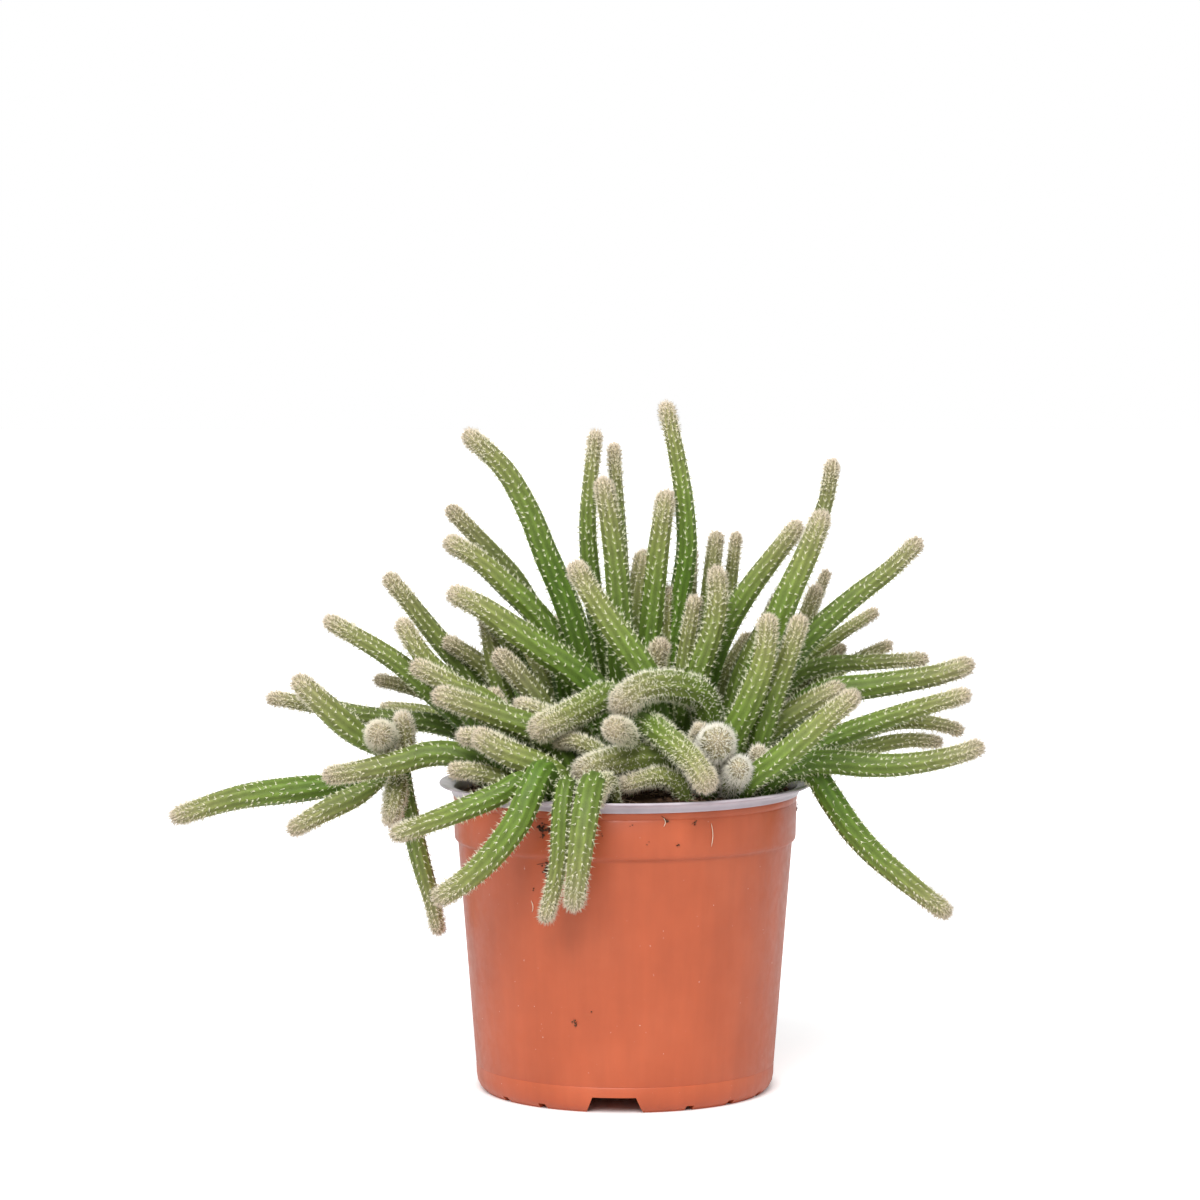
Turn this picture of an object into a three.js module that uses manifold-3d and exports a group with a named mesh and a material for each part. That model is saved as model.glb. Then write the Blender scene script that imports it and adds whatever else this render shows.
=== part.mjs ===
// A hairy rhipsalis in a thin plastic nursery pot: one clump of short, bristly, pencil-thick
// stems that rise, arch and trail over the rim. Millimetres, +Z up, and the pot stands on z = 0.
// The pot, the soil and every stem are separate closed solids. Stems start just above the soil
// and are eased apart until none touches another, the pot or the soil.
import * as THREE from "three";
import { mergeVertices } from "three/addons/utils/BufferGeometryUtils.js";
import Module from "manifold-3d";

const wasm = await Module();
wasm.setup();

// Pot
const POT_HEIGHT = 107;
const LIP_RADIUS = 64.5;
const LIP_HEIGHT = 5.2;
const COLLAR_RADIUS = 60;
const FOOT_RADIUS = 49;
const WALL = 1.2;
const COLLAR_HEIGHT = 21.5;
const COLLAR_STEP = 1.6;
const GROOVE_DROP = 7.8;
const GROOVE_DEPTH = 0.4;
const CORNER_HEIGHT = 6.6;
const CORNER_RADIUS = 51.1;
const FLOOR_UNDERSIDE = 6.2;
const FLOOR_THICKNESS = 1.6;
const SKIRT_WALL = 2.3;
const POT_SEGMENTS = 60;

// Notches in the foot, and drain holes in the floor
const LARGE_NOTCHES = 3;
const LARGE_NOTCH_TURN = -94.4;
const LARGE_NOTCH_TOP = 14.8;
const LARGE_NOTCH_FOOT = 20;
const LARGE_NOTCH_HEIGHT = 5.5;
const SMALL_NOTCH_TURNS = [30, 50, 70, 90];
const SMALL_NOTCH_WIDTH = 3;
const SMALL_NOTCH_HEIGHT = 1.7;
const DRAIN_HOLES = 6;
const DRAIN_RADIUS = 4;
const DRAIN_CIRCLE = 34;

// Soil
const SOIL_TOP = 101.5;
const CLEARANCE = 0.35;

// Stems
const STEM_SIDES = 7;
const STEM_STATIONS = 9;
const BASE_GIRTH = 0.5;
const WIDEST_AT = 0.42;
const TIP_GIRTHS = {
  left: 0.6,
  shoulder: 0.66,
  front: 0.66,
  centre: 0.86,
  crown: 0.6,
  right: 0.64,
  back: 0.64,
};
const STEM_GAP = 0.7;
const EASING_ROUNDS = 400;
const SIDEWAYS_SHARE = 0.5;

// Every stem as [its greatest radius, its middle line from root to tip], by the part of the
// clump that it grows in. X runs to the right, Y to the back, from the pot's axis.
const STEMS = {
  left: [
    [3.4, [[-44, -2, 102], [-54, -2, 112], [-66, 0, 117], [-76, 0, 116]]],
    [5.1, [[-86, 3, 110], [-98, 5, 106], [-112, 5, 104], [-134, 5, 101], [-160, 5, 93]]],
    [4.3, [[-84, -6, 108], [-92, -6, 103], [-104, -6, 97], [-118, -6, 89]]],
    [5.1, [[-85, 2, 117], [-92, 1, 122], [-100, 0, 129], [-116, 0, 144]]],
    [3.9, [[-44, 22, 102], [-52, 18, 118], [-66, 16, 125],
      [-84, 15, 127], [-110, 15, 132], [-127, 15, 135]]],
    [5.6, [[-82, -8, 118], [-83, -20, 123], [-84, -34, 126]]],
    [4.8, [[-42, -27, 102], [-50, -26, 116], [-63, -25, 120],
      [-77, -25, 117], [-91, -25, 114], [-105, -26, 112]]],
    [4.1, [[-78, -9, 111], [-79, -16, 104], [-81, -19, 92]]],
    [3.8, [[-76, 2, 108], [-75, -2, 98], [-71, -5, 80], [-67, -5, 66], [-64, -5, 52]]],
  ],
  shoulder: [
    [4.3, [[-40, 12, 102], [-52, 10, 122], [-66, 7, 136], [-78, 5, 147], [-92, 5, 156], [-106, 5, 164]]],
    [4.3, [[-36, 24, 102], [-46, 23, 126], [-54, 21, 141],
      [-65, 20, 154], [-76, 20, 168], [-85, 20, 179]]],
    [4.5, [[-38, 2, 102], [-50, 0, 125], [-60, 0, 140], [-70, 0, 150], [-79, 0, 165]]],
    [4.5, [[-30, -14, 102], [-38, -15, 124], [-46, -15, 135], [-60, -15, 142], [-75, -15, 150]]],
    [5.2, [[-16, -28, 102], [-20, -30, 118], [-28, -30, 127],
      [-40, -30, 132], [-54, -30, 137], [-67, -30, 141]]],
    [4.8, [[-22, -4, 102], [-26, -5, 128], [-34, -5, 141], [-46, -5, 154]]],
    [5.1, [[-20, -39, 102], [-22, -42, 111], [-30, -46, 116], [-42, -46, 121], [-53, -46, 128]]],
    [3.5, [[-33, -36, 102], [-39, -36, 110], [-49, -36, 114], [-62, -36, 115]]],
  ],
  front: [
    [4.3, [[-28, -44, 102], [-31, -54, 112], [-40, -59, 108],
      [-52, -60, 103], [-66, -54, 97], [-78, -46, 92]]],
    [5.2, [[-22, -46, 102], [-27, -58, 116], [-36, -66, 99], [-50, -62, 82], [-65, -58, 71]]],
    [3.7, [[-17, -50, 102], [-19, -57, 113], [-20, -62, 101], [-21, -61, 86], [-26, -61, 65]]],
    [5.0, [[-11, -47, 102], [-15, -58, 113], [-18, -70, 103], [-20, -73, 87], [-22, -73, 70]]],
    [3.7, [[22, -40, 102], [15, -43, 113], [6, -46, 113], [-4, -48, 110]]],
  ],
  centre: [
    [5.6, [[4, -8, 102], [8, -14, 128], [-2, -24, 138], [-16, -38, 133], [-31, -50, 127]]],
    [5.8, [[15, -24, 102], [15, -31, 121], [5, -40, 124], [-8, -50, 121], [-19, -60, 116]]],
    [5.9, [[27, -12, 102], [28, -14, 126], [24, -18, 138],
      [14, -26, 142], [3, -36, 142], [-7, -45, 135]]],
    [4.4, [[2, -46, 126], [-2, -54, 130], [-6, -64, 132]]],
    [4.9, [[5, -21, 102], [8, -28, 124], [16, -46, 122], [26, -62, 115], [32, -71, 106]]],
    [6.6, [[27, -30, 102], [29, -38, 120], [29, -62, 127]]],
  ],
  crown: [
    [5.2, [[-10, 8, 102], [-12, 9, 130], [-17, 9, 158],
      [-28, 6, 186], [-36, 4, 205], [-46, 1, 220], [-57, 0, 229]]],
    [5.2, [[-18, 14, 102], [-19, 15, 132], [-25, 15, 157],
      [-38, 15, 171], [-51, 15, 183], [-64, 15, 191]]],
    [5.8, [[-2, -4, 102], [-4, -5, 126], [-11, -5, 141],
      [-22, -5, 149], [-35, -5, 158], [-48, -5, 167], [-62, -5, 174]]],
    [4.2, [[-32, 8, 102], [-40, 9, 128], [-45, 10, 145], [-49, 10, 168]]],
    [5.5, [[11, -13, 102], [9, -19, 130], [3, -20, 147],
      [-5, -20, 159], [-14, -20, 172], [-22, -20, 186]]],
    [3.9, [[-4, 26, 102], [-6, 26, 140], [-11, 25, 170], [-13, 25, 195], [-10, 25, 229]]],
    [5.2, [[0, 10, 102], [1, 8, 140], [0, 6, 170], [-2, 6, 190], [-6, 6, 214]]],
    [3.5, [[2, 36, 102], [0, 36, 150], [-2, 35, 190], [-4, 35, 224]]],
    [4.3, [[10, 20, 102], [12, 20, 130], [17, 20, 160], [21, 20, 187], [19, 20, 210], [13, 20, 239]]],
    [5.2, [[8, 6, 102], [5, 10, 130], [6, 14, 152], [9, 15, 180], [13, 15, 209]]],
    [4.8, [[18, -6, 102], [21, -8, 130], [25, -10, 146],
      [30, -10, 160], [32, -10, 172], [31, -10, 184]]],
  ],
  right: [
    [4.9, [[22, 4, 102], [26, 5, 132], [33, 5, 156], [43, 5, 173], [52, 5, 185], [62, 5, 198]]],
    [5.5, [[36, -5, 102], [43, -8, 132], [50, -10, 156],
      [56, -10, 172], [63, -10, 187], [69, -10, 203]]],
    [3.9, [[36, 20, 102], [48, 20, 145], [60, 20, 175], [68, 20, 194], [73, 20, 207], [74, 20, 219]]],
    [5.1, [[34, -24, 102], [35, -28, 122], [42, -30, 138], [47, -30, 154], [48, -30, 169]]],
    [4.4, [[42, -18, 102], [46, -20, 124], [52, -20, 142], [57, -20, 156], [61, -20, 168]]],
    [4.5, [[40, 2, 102], [50, 0, 136], [60, 0, 152], [78, 0, 169], [92, 0, 180], [104, 0, 192]]],
    [3.6, [[42, 18, 102], [50, 20, 132], [62, 20, 144], [90, 20, 147], [107, 20, 148]]],
    [5.1, [[44, -4, 102], [54, -5, 126], [66, -5, 137], [88, -5, 141], [106, -5, 144], [122, -5, 149]]],
    [4.2, [[50, -8, 102], [55, -13, 114], [66, -15, 121],
      [84, -15, 128], [102, -15, 134], [120, -15, 139]]],
    [4.6, [[45, -26, 102], [54, -23, 112], [68, -20, 113],
      [87, -20, 111], [108, -20, 113], [124, -20, 118]]],
    [4.8, [[38, -36, 102], [43, -42, 112], [52, -45, 119], [66, -45, 131], [80, -46, 143]]],
    [4.8, [[48, -16, 102], [58, -20, 115], [68, -24, 104],
      [78, -24, 90], [92, -22, 77], [111, -20, 62]]],
  ],
  back: [
    [4.6, [[-20, 34, 102], [-28, 48, 122], [-40, 68, 132], [-54, 88, 136], [-66, 104, 134]]],
    [4.8, [[-4, 42, 102], [-6, 56, 124], [-10, 76, 138], [-14, 98, 146]]],
    [4.6, [[14, 40, 102], [20, 54, 120], [28, 74, 128], [38, 96, 130]]],
    [4.4, [[28, 36, 102], [38, 48, 124], [54, 62, 138], [70, 76, 146]]],
    [4.6, [[5, 49, 102], [7, 60, 113], [9, 69, 98], [8, 74, 80], [6, 78, 60]]],
    [4.2, [[-27, 43, 102], [-34, 54, 112], [-44, 64, 102], [-52, 74, 90], [-58, 82, 76]]],
    [4.4, [[-40, 30, 102], [-52, 40, 116], [-70, 50, 124], [-90, 58, 126]]],
  ],
};

const TERRACOTTA = finish(0xc96842, 0.42);
const PEAT = finish(0x4a3424, 0.95);
const STEM_GREENS = [finish(0x6f8a3a, 0.6), finish(0x7f9950, 0.6), finish(0x5d7531, 0.6)];

function finish(color, roughness) {
  return new THREE.MeshStandardMaterial({ color, roughness, metalness: 0 });
}

// A closed geometry as a solid that can be cut.
function solidOf(geometry) {
  const bare = geometry.clone();
  bare.deleteAttribute("normal");
  bare.deleteAttribute("uv");
  const merged = mergeVertices(bare, 1e-4);
  return new wasm.Manifold(
    new wasm.Mesh({
      numProp: 3,
      vertProperties: merged.attributes.position.array,
      triVerts: new Uint32Array(merged.index.array),
    }),
  );
}

function geometryOf(solid) {
  const { vertProperties, triVerts } = solid.getMesh();
  const geometry = new THREE.BufferGeometry();
  geometry.setAttribute("position", new THREE.BufferAttribute(vertProperties, 3));
  geometry.setIndex(new THREE.BufferAttribute(triVerts, 1));
  geometry.computeVertexNormals();
  return geometry;
}

// A solid of revolution about +Z from (radius, height) pairs, up the outside and down the inside.
function turned(profile) {
  const points = profile.map(([radius, height]) => new THREE.Vector2(radius, height));
  return new THREE.LatheGeometry(points, POT_SEGMENTS).rotateX(Math.PI / 2);
}

// The pot's outside radius between the corner above the foot and the step under the collar.
const STEP_HEIGHT = POT_HEIGHT - COLLAR_HEIGHT;
const WALL_TOP_RADIUS = COLLAR_RADIUS - COLLAR_STEP - 0.8;
function wallRadius(height) {
  const rise = (height - CORNER_HEIGHT) / (STEP_HEIGHT - CORNER_HEIGHT);
  return CORNER_RADIUS + (WALL_TOP_RADIUS - CORNER_RADIUS) * rise;
}

function potProfile() {
  const corner = [0.2, 0.5, 0.8, 1].map((share) => [
    FOOT_RADIUS + (CORNER_RADIUS - FOOT_RADIUS) * Math.sin((share * Math.PI) / 2),
    CORNER_HEIGHT * (1 - Math.cos((share * Math.PI) / 2)),
  ]);
  const lip = [0.25, 0.5, 0.75, 1].map((share) => [
    COLLAR_RADIUS + (LIP_RADIUS - COLLAR_RADIUS) * (1 - Math.cos((share * Math.PI) / 2)),
    POT_HEIGHT - LIP_HEIGHT + (LIP_HEIGHT - 0.8) * Math.sin((share * Math.PI) / 2),
  ]);
  const insideLip = lip.slice(0, 3).map(([radius, height]) => [radius - WALL, height + 0.5]);
  const grooveHeight = POT_HEIGHT - GROOVE_DROP;
  const floorTop = FLOOR_UNDERSIDE + FLOOR_THICKNESS;
  return [
    [0, FLOOR_UNDERSIDE],
    [FOOT_RADIUS - SKIRT_WALL, FLOOR_UNDERSIDE],
    [FOOT_RADIUS - SKIRT_WALL, 0],
    [FOOT_RADIUS, 0],
    ...corner,
    [WALL_TOP_RADIUS, STEP_HEIGHT],
    [WALL_TOP_RADIUS + COLLAR_STEP, STEP_HEIGHT + 0.8],
    [COLLAR_RADIUS - 0.3, grooveHeight - 0.6],
    [COLLAR_RADIUS - 0.3 - GROOVE_DEPTH, grooveHeight],
    [COLLAR_RADIUS, grooveHeight + 0.6],
    [COLLAR_RADIUS, POT_HEIGHT - LIP_HEIGHT],
    ...lip,
    [LIP_RADIUS, POT_HEIGHT],
    [LIP_RADIUS - 1.6, POT_HEIGHT],
    ...insideLip.reverse(),
    [COLLAR_RADIUS - WALL - 0.2, STEP_HEIGHT + 2],
    [WALL_TOP_RADIUS - WALL, STEP_HEIGHT - 1],
    [wallRadius(floorTop) - WALL, floorTop],
    [0, floorTop],
  ];
}

// A wedge-sided cutter that opens the foot ring at a turn about +Z, in degrees.
function notch(footWidth, topWidth, height, turn) {
  const outline = new THREE.Shape([
    new THREE.Vector2(-footWidth / 2, -1),
    new THREE.Vector2(footWidth / 2, -1),
    new THREE.Vector2(topWidth / 2, height),
    new THREE.Vector2(-topWidth / 2, height),
  ]);
  const reach = 12;
  const cutter = new THREE.ExtrudeGeometry(outline, { depth: reach, bevelEnabled: false });
  cutter.rotateX(Math.PI / 2).rotateZ(Math.PI / 2);
  cutter.translate(FOOT_RADIUS - reach / 2, 0, 0);
  cutter.rotateZ(THREE.MathUtils.degToRad(turn));
  return solidOf(cutter);
}

function drainHole(index) {
  const height = FLOOR_THICKNESS * 4;
  const hole = new THREE.CylinderGeometry(DRAIN_RADIUS, DRAIN_RADIUS, height, 16);
  hole.rotateX(Math.PI / 2).translate(DRAIN_CIRCLE, 0, FLOOR_UNDERSIDE);
  return solidOf(hole.rotateZ((index * 2 * Math.PI) / DRAIN_HOLES));
}

function makePot() {
  let pot = solidOf(turned(potProfile()));
  for (let large = 0; large < LARGE_NOTCHES; large += 1) {
    const turn = LARGE_NOTCH_TURN + (large * 360) / LARGE_NOTCHES;
    pot = pot.subtract(notch(LARGE_NOTCH_FOOT, LARGE_NOTCH_TOP, LARGE_NOTCH_HEIGHT, turn));
    for (const extra of SMALL_NOTCH_TURNS) {
      const small = notch(SMALL_NOTCH_WIDTH, SMALL_NOTCH_WIDTH, SMALL_NOTCH_HEIGHT, turn + extra);
      pot = pot.subtract(small);
    }
  }
  for (let index = 0; index < DRAIN_HOLES; index += 1) {
    pot = pot.subtract(drainHole(index));
  }
  return geometryOf(pot);
}

function makeSoil() {
  const floor = FLOOR_UNDERSIDE + FLOOR_THICKNESS + CLEARANCE;
  return turned([
    [0, floor],
    [wallRadius(floor) - WALL - CLEARANCE, floor],
    [WALL_TOP_RADIUS - WALL - CLEARANCE, STEP_HEIGHT - 1],
    [COLLAR_RADIUS - WALL - 0.4 - CLEARANCE, STEP_HEIGHT + 2],
    [COLLAR_RADIUS - WALL - 0.4 - CLEARANCE, SOIL_TOP - 1],
    [COLLAR_RADIUS - WALL - 2, SOIL_TOP],
    [0, SOIL_TOP],
  ]);
}

// A stem's radius at a share of its length: narrow at the root, swelling to its widest short of
// halfway, and then tapering to the girth of its tip.
function girthAt(share, greatest, tipGirth) {
  const lower = Math.min(share / WIDEST_AT, 1);
  const upper = Math.max((share - WIDEST_AT) / (1 - WIDEST_AT), 0);
  const swelling = BASE_GIRTH + (1 - BASE_GIRTH) * Math.sin((lower * Math.PI) / 2);
  return greatest * (swelling - (1 - tipGirth) * upper ** 1.5);
}

// One stem's stations: evenly spaced points on its middle line, up to where its round tip begins.
function layOut(name, greatest, tipGirth, line) {
  const curve = new THREE.CatmullRomCurve3(line.map((point) => new THREE.Vector3(...point)));
  const domeStart = 1 - (greatest * tipGirth) / curve.getLength();
  const stations = [];
  for (let index = 0; index < STEM_STATIONS; index += 1) {
    const share = (index / (STEM_STATIONS - 1)) * domeStart;
    const home = curve.getPointAt(share);
    stations.push({ home, place: home.clone(), radius: girthAt(share, greatest, tipGirth) });
  }
  const rooted = line[0][2] < SOIL_TOP + 1;
  return { name, stations, rooted, depth: curve.getPointAt(0.6).y };
}

// The nearest points of two straight stretches, as shares along each.
function nearest(a, b, c, d) {
  const u = b.clone().sub(a);
  const v = d.clone().sub(c);
  const w = a.clone().sub(c);
  const uu = u.dot(u);
  const uv = u.dot(v);
  const vv = v.dot(v);
  const uw = u.dot(w);
  const vw = v.dot(w);
  const spread = uu * vv - uv * uv;
  const clamp = (value) => Math.min(Math.max(value, 0), 1);
  let s = spread > 1e-9 ? clamp((uv * vw - vv * uw) / spread) : 0.5;
  const t = clamp((uv * s + vw) / vv);
  s = clamp((uv * t - uw) / uu);
  return [s, t];
}

// Roots stay where they grow, and a free end moves as easily as the middle.
function freedom(stem, index) {
  return stem.rooted ? Math.min(index / 2, 1) : 1;
}

function nudge(stem, index, share, push) {
  const near = stem.stations[index];
  const far = stem.stations[index + 1];
  near.place.addScaledVector(push, (1 - share) * freedom(stem, index));
  far.place.addScaledVector(push, share * freedom(stem, index + 1));
}

// Pushes two stems apart wherever they come too close, mostly forwards and back.
function partStems(one, other) {
  let worst = 0;
  for (let i = 0; i < STEM_STATIONS - 1; i += 1) {
    const [a, b] = [one.stations[i], one.stations[i + 1]];
    for (let j = 0; j < STEM_STATIONS - 1; j += 1) {
      const [c, d] = [other.stations[j], other.stations[j + 1]];
      const reach = Math.max(a.radius, b.radius) + Math.max(c.radius, d.radius) + STEM_GAP;
      const span = a.place.distanceTo(b.place) + c.place.distanceTo(d.place);
      if (a.place.distanceTo(c.place) > reach + span) continue;
      const [s, t] = nearest(a.place, b.place, c.place, d.place);
      const from = a.place.clone().lerp(b.place, s);
      const apart = c.place.clone().lerp(d.place, t).sub(from);
      const tipRoom = Number(i === STEM_STATIONS - 2) + Number(j === STEM_STATIONS - 2);
      const needed = reach + tipRoom * 0.3;
      const lack = needed - apart.length();
      if (lack <= 0) continue;
      worst = Math.max(worst, lack);
      apart.x *= SIDEWAYS_SHARE;
      apart.z *= SIDEWAYS_SHARE;
      apart.y += Math.sign(other.depth - one.depth || 1) * 0.8;
      const push = apart.setLength(lack * 0.3);
      nudge(other, j, t, push);
      nudge(one, i, s, push.clone().negate());
    }
  }
  return worst;
}

// The lip's cross-section lies within this reach of a circle about the pot's axis.
const LIP_MIDDLE = (COLLAR_RADIUS + LIP_RADIUS) / 2;
const LIP_REACH = 3;

// Keeps a stem out of the soil, off the lip and outside the wall.
function clearPot(stem) {
  stem.stations.forEach((station, index) => {
    const { place, radius } = station;
    const out = Math.hypot(place.x, place.y);
    const room = radius + STEM_GAP;
    if (out < COLLAR_RADIUS && place.z > SOIL_TOP - 8 && index > 0) {
      const floor = SOIL_TOP + room;
      place.z = Math.max(place.z, floor);
    }
    const lipOut = out - LIP_MIDDLE;
    const lipUp = place.z - (POT_HEIGHT - LIP_REACH / 2);
    const lipGap = Math.hypot(lipOut, lipUp);
    const wanted = room + LIP_REACH;
    if (lipGap < wanted && index > 0) {
      const lift = wanted / Math.max(lipGap, 0.01);
      const moved = LIP_MIDDLE + lipOut * lift;
      place.x *= moved / out;
      place.y *= moved / out;
      place.z = POT_HEIGHT - LIP_REACH / 2 + lipUp * lift;
    } else if (place.z < POT_HEIGHT && out > COLLAR_RADIUS - WALL && out < COLLAR_RADIUS + room) {
      const moved = (COLLAR_RADIUS + room) / out;
      place.x *= moved;
      place.y *= moved;
    }
  });
}

// Evens out each stem's shift from its home line, so that it bends and doesn't kink.
function smooth(stem) {
  const shifts = stem.stations.map(({ home, place }) => place.clone().sub(home));
  stem.stations.forEach((station, index) => {
    const before = shifts[Math.max(index - 1, 0)];
    const after = shifts[Math.min(index + 1, STEM_STATIONS - 1)];
    const evened = before.clone().add(after).multiplyScalar(0.5);
    const shift = shifts[index].clone().lerp(evened, 0.3 * freedom(stem, index));
    station.place.copy(station.home).add(shift);
  });
}

function easeApart(stems) {
  for (let round = 0; round < EASING_ROUNDS; round += 1) {
    let worst = 0;
    stems.forEach((one, index) => {
      for (const other of stems.slice(index + 1)) worst = Math.max(worst, partStems(one, other));
    });
    stems.forEach(clearPot);
    if (worst < 0.05) break;
    stems.forEach(smooth);
  }
  stems.forEach(clearPot);
}

// The skin of a stem: rings square to the middle line, a flat root end, level where it stands
// on the soil, and a round tip.
function makeStem({ stations, rooted }) {
  const last = stations[STEM_STATIONS - 1];
  const heading = last.place.clone().sub(stations[STEM_STATIONS - 2].place).normalize();
  const rings = stations.map(({ place, radius }, index) => {
    const before = stations[Math.max(index - 1, 0)].place;
    const after = stations[Math.min(index + 1, STEM_STATIONS - 1)].place;
    return { centre: place, radius, along: after.clone().sub(before).normalize() };
  });
  if (rooted) rings[0].along.set(0, 0, 1);
  const shoulder = last.place.clone().addScaledVector(heading, last.radius * 0.6);
  rings.push({ centre: shoulder, radius: last.radius * 0.8, along: heading });
  const tip = last.place.clone().addScaledVector(heading, last.radius);

  const corners = [];
  const side = new THREE.Vector3(0, 1, 0);
  for (const { centre, radius, along } of rings) {
    side.addScaledVector(along, -side.dot(along)).normalize();
    const across = along.clone().cross(side);
    for (let k = 0; k < STEM_SIDES; k += 1) {
      const turn = (k * 2 * Math.PI) / STEM_SIDES;
      const spoke = side.clone().multiplyScalar(Math.cos(turn)).addScaledVector(across, Math.sin(turn));
      corners.push(centre.clone().addScaledVector(spoke, radius));
    }
  }
  const root = corners.push(rings[0].centre) - 1;
  const end = corners.push(tip) - 1;
  const faces = [];
  const lastRing = (rings.length - 1) * STEM_SIDES;
  for (let k = 0; k < STEM_SIDES; k += 1) {
    const next = (k + 1) % STEM_SIDES;
    faces.push(root, next, k);
    faces.push(end, lastRing + k, lastRing + next);
    for (let ring = 0; ring < lastRing; ring += STEM_SIDES) {
      faces.push(ring + k, ring + next, ring + STEM_SIDES + k);
      faces.push(ring + next, ring + STEM_SIDES + next, ring + STEM_SIDES + k);
    }
  }
  const geometry = new THREE.BufferGeometry().setFromPoints(corners);
  geometry.setIndex(faces);
  geometry.computeVertexNormals();
  return geometry;
}

function named(name, geometry, material) {
  const mesh = new THREE.Mesh(geometry, material);
  mesh.name = name;
  return mesh;
}

const plant = new THREE.Group();
plant.add(named("pot", makePot(), TERRACOTTA));
plant.add(named("soil", makeSoil(), PEAT));

const stems = Object.entries(STEMS).flatMap(([part, list]) =>
  list.map(([greatest, line], index) =>
    layOut(`stem_${part}_${index + 1}`, greatest, TIP_GIRTHS[part], line),
  ),
);
easeApart(stems);
stems.forEach((stem, index) => {
  plant.add(named(stem.name, makeStem(stem), STEM_GREENS[index % STEM_GREENS.length]));
});

// The origin is under the middle of the whole plant's box, on the surface that the pot stands on.
const middle = new THREE.Box3().setFromObject(plant).getCenter(new THREE.Vector3());
plant.position.set(-middle.x, -middle.y, 0);

export default plant;
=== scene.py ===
"""Looks for the potted rhipsalis: bristly ribbed stems, a two-tone nursery pot and fibrous peat."""
import math

import bpy
import bmesh
import numpy as np
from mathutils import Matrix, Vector, noise


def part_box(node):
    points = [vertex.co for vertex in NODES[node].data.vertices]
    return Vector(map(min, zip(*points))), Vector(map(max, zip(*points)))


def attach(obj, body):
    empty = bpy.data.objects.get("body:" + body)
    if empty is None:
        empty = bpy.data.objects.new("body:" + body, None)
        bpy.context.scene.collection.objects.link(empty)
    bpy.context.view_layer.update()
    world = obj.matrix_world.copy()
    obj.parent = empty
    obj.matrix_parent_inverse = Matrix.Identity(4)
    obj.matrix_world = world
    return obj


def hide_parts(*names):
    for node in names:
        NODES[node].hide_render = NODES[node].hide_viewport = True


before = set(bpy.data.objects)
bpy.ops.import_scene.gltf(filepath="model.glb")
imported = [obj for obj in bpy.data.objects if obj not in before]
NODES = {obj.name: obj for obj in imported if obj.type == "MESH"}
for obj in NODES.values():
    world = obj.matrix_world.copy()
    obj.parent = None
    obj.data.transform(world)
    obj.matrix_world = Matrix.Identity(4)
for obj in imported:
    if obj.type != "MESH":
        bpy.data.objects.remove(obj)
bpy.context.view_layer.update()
BODY = "root"
MM = 0.001


# ---------------------------------------------------------------- places taken from the frame

POT_LOW, POT_HIGH = (np.array(corner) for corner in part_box("pot"))
AXIS = np.array([(POT_LOW[0] + POT_HIGH[0]) / 2, (POT_LOW[1] + POT_HIGH[1]) / 2, 0.0])
POT_HEIGHT = float(POT_HIGH[2])
LIP_RADIUS = float(POT_HIGH[0] - POT_LOW[0]) / 2
SOIL_TOP = float(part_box("soil")[1][2])
SOIL_RADIUS = float(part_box("soil")[1][0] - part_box("soil")[0][0]) / 2


# ---------------------------------------------------------------- camera, floor and light

# The camera's place is in metres from the pot's axis, its dip in radians, its lens and sensor in mm.
CAMERA_BACK = 1.5
CAMERA_LEFT = 0.00871
CAMERA_HEIGHT = 0.2856
CAMERA_DIP = 0.077
CAMERA_LENS = 130.5
CAMERA_SENSOR = 36
AMBIENT = 0.42
SUN_STRENGTH = 2.9
SUN_FROM = (-0.22, -1.0, 1.05)
SUN_WIDTH = 42
FLOOR_REACH = 6.0
FLOOR_GLOW = 0.5
GLOW_STARTS = 0.047
GLOW_FULL = 0.056


def add_camera():
    data = bpy.data.cameras.new("camera")
    data.lens = CAMERA_LENS
    data.sensor_width = CAMERA_SENSOR
    camera = bpy.data.objects.new("camera", data)
    camera.location = (AXIS[0] - CAMERA_LEFT, AXIS[1] - CAMERA_BACK, CAMERA_HEIGHT)
    camera.rotation_euler = (math.pi / 2 - CAMERA_DIP, 0, 0)
    bpy.context.scene.collection.objects.link(camera)
    bpy.context.scene.camera = camera


def add_sun():
    """One wide soft light, as from a large softbox over the viewer's left shoulder."""
    data = bpy.data.lights.new("key_light", "SUN")
    data.energy = SUN_STRENGTH
    data.angle = math.radians(SUN_WIDTH)
    light = bpy.data.objects.new("key_light", data)
    light.rotation_euler = (-Vector(SUN_FROM)).to_track_quat("-Z", "Y").to_euler()
    bpy.context.scene.collection.objects.link(light)


def add_world():
    """A white room: seen white and mirrored white, while less of its light falls on the plant."""
    world = bpy.data.worlds.new("studio")
    world.use_nodes = True
    tree = world.node_tree
    seen = tree.nodes["Background"]
    seen.inputs["Color"].default_value = (1, 1, 1, 1)
    lit = add_node(tree, "ShaderNodeBackground", Color=(0.97, 0.985, 1.0, 1), Strength=AMBIENT)
    rays = tree.nodes.new("ShaderNodeLightPath")
    either = add_node(tree, "ShaderNodeMath", operation="MAXIMUM")
    tree.links.new(rays.outputs["Is Camera Ray"], either.inputs[0])
    tree.links.new(rays.outputs["Is Glossy Ray"], either.inputs[1])
    choice = tree.nodes.new("ShaderNodeMixShader")
    tree.links.new(either.outputs["Value"], choice.inputs["Fac"])
    tree.links.new(lit.outputs["Background"], choice.inputs[1])
    tree.links.new(seen.outputs["Background"], choice.inputs[2])
    tree.links.new(choice.outputs["Shader"], tree.nodes["World Output"].inputs["Surface"])
    bpy.context.scene.world = world


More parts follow.
